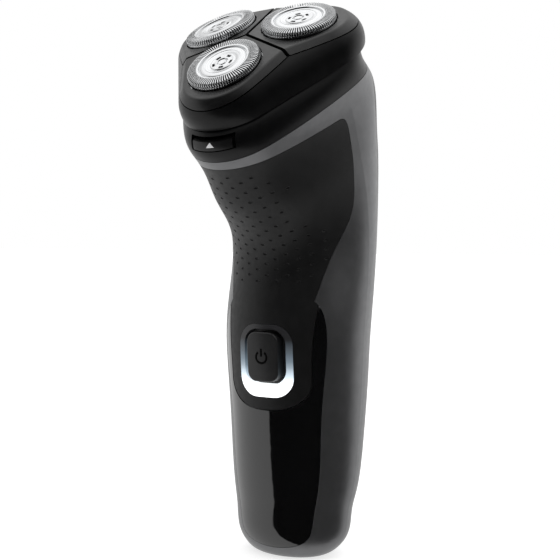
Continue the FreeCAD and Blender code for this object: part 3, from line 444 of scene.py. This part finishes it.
def power_icon():
    low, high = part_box("power_button")
    middle = (low.z + high.z) / 2.0
    half = ICON_STROKE / 2.0
    arc = []
    for radius in (ICON_RADIUS - half, ICON_RADIUS + half):
        turn_step = (360.0 - 2.0 * ICON_GAP) / ICON_ARC_STEPS
        angles = [math.radians(ICON_GAP + step * turn_step) for step in range(ICON_ARC_STEPS + 1)]
        arc.append([(radius * math.sin(a), middle + radius * math.cos(a)) for a in angles])
    bar = [[(x, middle + ICON_BAR_FROM + step * ICON_BAR / MARK_STEPS) for step in range(MARK_STEPS + 1)]
           for x in (-half, half)]
    laid_on(surface_of("power_button"), "power_icon", [arc, bar], ICON_INK_AND_GROOVE_SHADE, BODY_OF["power_button"])


ARROW_HALF_WIDTH = 0.0013
ARROW_HEIGHT = 0.0014
ARROW_FLOOR = 0.15                        # share of the button's height below the arrow
ARROW_TIP = 0.02                          # width of the arrow's tip as a share of its base
ARROW_LINES = (-1.0, -0.67, -0.33, 0.0, 0.33, 0.67, 1.0)


def release_arrow():
    """Small triangle on the release button that points up to the shaving unit."""
    low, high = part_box("release_button")
    base = low.z + ARROW_FLOOR * (high.z - low.z)
    lines = []
    for share in ARROW_LINES:
        line = []
        for step in range(MARK_STEPS + 1):
            half = ARROW_HALF_WIDTH * (1.0 - (1.0 - ARROW_TIP) * step / MARK_STEPS)
            line.append((share * half, base + ARROW_HEIGHT * step / MARK_STEPS))
        lines.append(line)
    laid_on(surface_of("release_button"), "release_arrow", [lines], ARROW_LIGHT,
            BODY_OF["release_button"])


power_icon()
release_arrow()


# ---- slotted caps -----------------------------------------------------------

CAP_SLOTS = 90
CAP_SLOT_HALF = 0.00020
CAP_SHEET = 0.00016
CAP_LAND = (0.42, 0.58)                   # where the metal between two slots is divided, in shares of the pitch
CAP_SLOT_MOST = 0.32                      # widest half of a slot, in shares of the pitch
MIDDLE_SLOTS = 5
MIDDLE_SLOT_SHARE = 0.42                  # of the circle that the middle slots take up
# Radius and height of the cap's top, from the middle outward, in millimetres. The last value says
# what crosses that ring: 1 the middle slots, 2 the radial slots, 3 a groove whose faces are painted dark as shade.
CAP_PROFILE = [
    (0.30, -0.30, 0), (0.80, -0.30, 0), (1.10, -0.26, 0), (1.22, -0.40, 3), (1.30, -0.58, 3), (1.55, -0.58, 3),
    (1.62, -0.40, 3), (1.75, -0.22, 0), (2.10, -0.22, 0), (2.40, -0.26, 1), (2.75, -0.28, 1), (3.10, -0.26, 1),
    (3.30, -0.22, 0), (3.45, -0.20, 0), (3.65, -0.26, 0),
    (3.80, -0.46, 0), (4.00, -0.46, 0), (4.30, -0.34, 0), (4.80, -0.22, 0), (5.20, -0.17, 0), (5.28, -0.24, 0),
    (5.38, -0.24, 0), (5.46, -0.15, 0), (6.00, -0.13, 0), (6.60, -0.20, 0), (6.95, -0.34, 0), (7.06, -0.48, 3),
    (7.12, -0.56, 3), (7.30, -0.56, 3),
    (7.38, -0.30, 3), (7.44, -0.10, 0), (7.60, -0.03, 0), (8.00, -0.01, 2), (8.80, 0.00, 2), (9.60, -0.01, 2),
    (10.10, -0.05, 2), (10.45, -0.14, 2), (10.72, -0.30, 2), (10.90, -0.55, 2), (10.98, -0.90, 2),
    (11.00, -1.40, 2), (11.00, -1.75, 0), (11.00, -3.40, 0), (11.85, -3.40, 0), (11.90, -3.50, 0),
    (11.90, -3.95, 0),
]


def slotted_cap(name, joint, body):
    """Thin sheet with fine radial slots over its rim and a few slots round its middle. Its two grooves wear a dark
    material as painted shade.
    """
    mesh_data = bmesh.new()
    step = 2.0 * math.pi / CAP_SLOTS
    columns = 4
    rows = []
    for radius, height, opening in CAP_PROFILE:
        half_slot = min(CAP_SLOT_HALF / (radius * MM), CAP_SLOT_MOST * step)
        ring = []
        for index in range(CAP_SLOTS):
            middle = index * step
            land = [middle + share * step for share in CAP_LAND]
            for angle in (middle - half_slot, middle + half_slot, *land):
                ring.append(mesh_data.verts.new(MM * Vector((radius * math.cos(angle), radius * math.sin(angle),
                                                             height))))
        rows.append(ring)
    total = CAP_SLOTS * columns
    for level in range(len(CAP_PROFILE) - 1):
        inner_open = CAP_PROFILE[level][2]
        outer_open = CAP_PROFILE[level + 1][2]
        for index in range(total):
            if inner_open == outer_open == 2 and index % columns == 0:
                continue
            if inner_open == outer_open == 1 and index * MIDDLE_SLOTS % total < MIDDLE_SLOT_SHARE * total:
                continue
            following = (index + 1) % total
            face = mesh_data.faces.new((rows[level][index], rows[level + 1][index],
                                        rows[level + 1][following], rows[level][following]))
            # groove faces get the dark material: painted shade where the groove's shadow falls
            face.material_index = 1 if inner_open == outer_open == 3 else 0
    centre = mesh_data.verts.new((0, 0, CAP_PROFILE[0][1] * MM))
    for index in range(total):
        mesh_data.faces.new((centre, rows[0][index], rows[0][(index + 1) % total]))
    bmesh.ops.recalc_face_normals(mesh_data, faces=mesh_data.faces)
    pivot = Vector(joint["pos_m"])
    place = axes_matrix(pivot, joint["axis"], pivot - HEAD_ORIGIN)
    piece = new_piece(name, mesh_data, CAP_STEEL, body, place)
    # the dark material, used as painted shade in the grooves
    piece.data.materials.append(ICON_INK_AND_GROOVE_SHADE)
    shell = piece.modifiers.new("sheet", "SOLIDIFY")
    shell.thickness = CAP_SHEET
    shell.offset = -1.0
    shell.use_even_offset = True
    return piece


for place in ("front", "right", "left"):
    axis_joint = JOINTS["cutter_" + place + "_spin"]
    cap_piece = slotted_cap("slotted_cap_" + place, axis_joint, BODY_OF["cap_" + place])
    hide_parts("cap_" + place)


# ---- floor and light --------------------------------------------------------

FLOOR_HALF = 3.0
FLOOR_GAP = 0.0001                        # below the foot, so that the two don't touch


def make_floor():
    """Pale floor that the gloss doesn't mirror."""
    mesh_data = bmesh.new()
    bmesh.ops.create_grid(mesh_data, x_segments=8, y_segments=8, size=FLOOR_HALF)
    mesh = bpy.data.meshes.new("floor")
    mesh_data.to_mesh(mesh)
    mesh_data.free()
    floor = bpy.data.objects.new("floor", mesh)
    floor.location.z = cad_box[0][2] - FLOOR_GAP
    bpy.context.scene.collection.objects.link(floor)
    finish = Finish("floor", Roughness=0.8, Specular_IOR_Level=0.0, Emission_Color=(1, 1, 1, 1),
                    Emission_Strength=0.72)
    finish.tones((0.55, 0.55, 0.55), (0.57, 0.57, 0.57), 0.4)
    wear(floor, finish.material)
    floor.visible_glossy = False


make_floor()


def heading(azimuth, elevation):
    """Direction at an azimuth from the front towards +X and an elevation, both in degrees."""
    a = math.radians(azimuth)
    e = math.radians(elevation)
    return Vector((math.sin(a) * math.cos(e), -math.cos(a) * math.cos(e), math.sin(e)))


# Soft white walls of the studio, which light the object: the direction each faces, how far its light
# fades between two angles from that direction, and how bright it is.
WALLS = [
    (heading(-128, -30), 91.0, 89.0, 1.0),
    (heading(0, -90), 40.0, 30.0, 0.85),
    (heading(158, 14), 54.0, 14.0, 1.35),
    (heading(170, 80), 72.0, 25.0, 1.7),
    (heading(92, 34), 32.0, 8.0, 0.5),
]
BASE_LIGHT = 0.012


def make_world():
    """The backdrop is white to the camera, and the walls light the object."""
    world = bpy.data.worlds.new("studio")
    bpy.context.scene.world = world
    world.use_nodes = True
    tree = world.node_tree
    backdrop = tree.nodes["Background"]
    backdrop.inputs["Color"].default_value = (1.0, 1.0, 1.0, 1.0)
    direction = tree.nodes.new("ShaderNodeTexCoord").outputs["Generated"]
    total = None
    for facing, far, near, strength in WALLS:
        dot = tree.nodes.new("ShaderNodeVectorMath")
        dot.operation = "DOT_PRODUCT"
        dot.inputs[1].default_value = facing
        tree.links.new(direction, dot.inputs[0])
        fade = tree.nodes.new("ShaderNodeMapRange")
        fade.interpolation_type = "SMOOTHSTEP"
        fade.inputs["From Min"].default_value = math.cos(math.radians(far))
        fade.inputs["From Max"].default_value = math.cos(math.radians(near))
        fade.inputs["To Max"].default_value = strength
        tree.links.new(dot.outputs["Value"], fade.inputs["Value"])
        if total is None:
            total = fade.outputs["Result"]
        else:
            brighter = tree.nodes.new("ShaderNodeMath")
            brighter.operation = "MAXIMUM"
            tree.links.new(total, brighter.inputs[0])
            tree.links.new(fade.outputs["Result"], brighter.inputs[1])
            total = brighter.outputs["Value"]
    base = tree.nodes.new("ShaderNodeMath")
    base.operation = "ADD"
    base.inputs[1].default_value = BASE_LIGHT
    tree.links.new(total, base.inputs[0])
    walls = tree.nodes.new("ShaderNodeBackground")
    tree.links.new(base.outputs["Value"], walls.inputs["Strength"])
    paths = tree.nodes.new("ShaderNodeLightPath")
    mix = tree.nodes.new("ShaderNodeMixShader")
    tree.links.new(paths.outputs["Is Camera Ray"], mix.inputs["Fac"])
    tree.links.new(walls.outputs["Background"], mix.inputs[1])
    tree.links.new(backdrop.outputs["Background"], mix.inputs[2])
    tree.links.new(mix.outputs["Shader"], tree.nodes["World Output"].inputs["Surface"])


make_world()

bpy.context.scene.view_settings.view_transform = "Standard"
